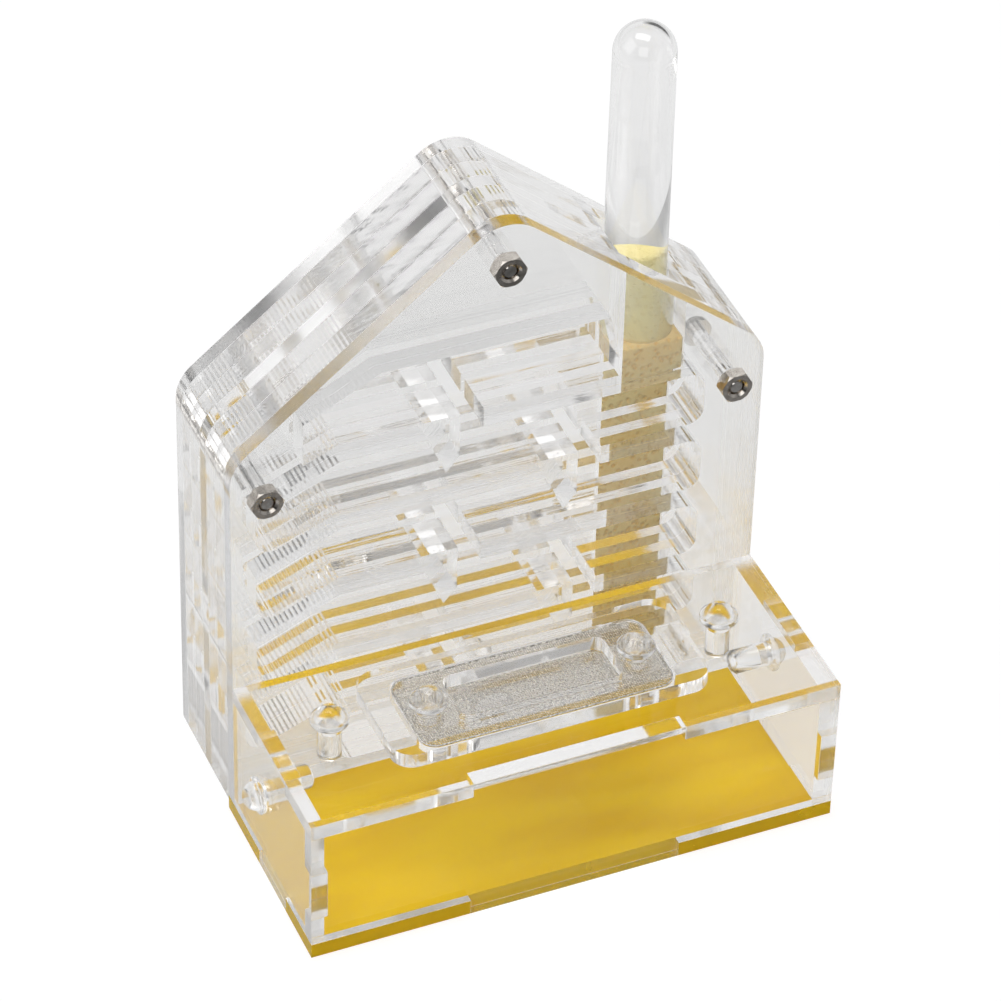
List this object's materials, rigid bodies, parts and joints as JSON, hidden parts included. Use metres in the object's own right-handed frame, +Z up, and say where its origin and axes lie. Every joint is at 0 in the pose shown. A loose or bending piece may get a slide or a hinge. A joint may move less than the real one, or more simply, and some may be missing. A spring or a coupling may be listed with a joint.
{
  "type": "ant habitat",
  "caption": "Clear house-shaped ant nest of stacked sheets behind a feeding box with a yellow base, a lift-off meshed hatch, and a water tube over a sponge.",
  "frame": {"origin": "on the ground, in the middle of the overall footprint, including the screw heads behind the nest", "axes": "+Z up, +X to the right seen from the feeding box, +Y from the feeding box towards the nest"},
  "size_m": [0.1068, 0.0668, 0.1435],
  "materials": {
    "clear_acrylic": "clear polished acrylic sheet with laser-cut edges",
    "yellow_acrylic": "golden yellow see-through acrylic sheet, glossy",
    "tube_plastic": "clear moulded plastic",
    "clear_plastic": "clear moulded plastic, domed",
    "yellow_sponge": "damp open-cell cellulose sponge",
    "yellow_foam": "fine foam",
    "plated_steel": "dark nickel plated",
    "woven_steel": "fine woven stainless mesh"
  },
  "bodies": {
    "habitat": {"front_plate": "clear_acrylic", "front_outer_sheet": "clear_acrylic", "front_inner_sheet": "clear_acrylic", "middle_plate": "clear_acrylic", "rear_inner_sheet": "clear_acrylic", "rear_outer_sheet": "clear_acrylic", "back_plate": "clear_acrylic", "screw_apex": "plated_steel", "screw_left": "plated_steel", "screw_right": "plated_steel", "nut_apex": "plated_steel", "nut_left": "plated_steel", "nut_right": "plated_steel", "moisture_sponge": "yellow_sponge", "base_plate": "yellow_acrylic", "box_front": "clear_acrylic", "box_left": "clear_acrylic", "box_right": "clear_acrylic", "box_top": "clear_acrylic"},
    "hatch": {"hatch_plate": "clear_acrylic", "hatch_locator": "clear_acrylic", "vent_mesh": "woven_steel", "hatch_knob_left": "clear_plastic", "hatch_knob_right": "clear_plastic"},
    "tube": {"water_tube": "tube_plastic", "tube_stopper": "yellow_foam"},
    "feed_stopper_left": {"feed_plug_left": "clear_plastic"},
    "feed_stopper_right": {"feed_plug_right": "clear_plastic"},
    "side_stopper_left": {"side_plug_left": "clear_plastic"},
    "side_stopper_right": {"side_plug_right": "clear_plastic"}
  },
  "joints": [
    {"name": "hatch_lift", "type": "slide", "parent": "habitat", "child": "hatch", "axis": [0, 0, 1], "range_m": [0, 0.012]},
    {"name": "tube_pull", "type": "slide", "parent": "habitat", "child": "tube", "axis": [0, 0, 1], "range_m": [0, 0.025]},
    {"name": "feed_left_pull", "type": "slide", "parent": "habitat", "child": "feed_stopper_left", "axis": [0, 0, 1], "range_m": [0, 0.012]},
    {"name": "feed_right_pull", "type": "slide", "parent": "habitat", "child": "feed_stopper_right", "axis": [0, 0, 1], "range_m": [0, 0.012]},
    {"name": "side_left_pull", "type": "slide", "parent": "habitat", "child": "side_stopper_left", "axis": [-1, 0, 0], "range_m": [0, 0.012]},
    {"name": "side_right_pull", "type": "slide", "parent": "habitat", "child": "side_stopper_right", "axis": [1, 0, 0], "range_m": [0, 0.012]}
  ]
}
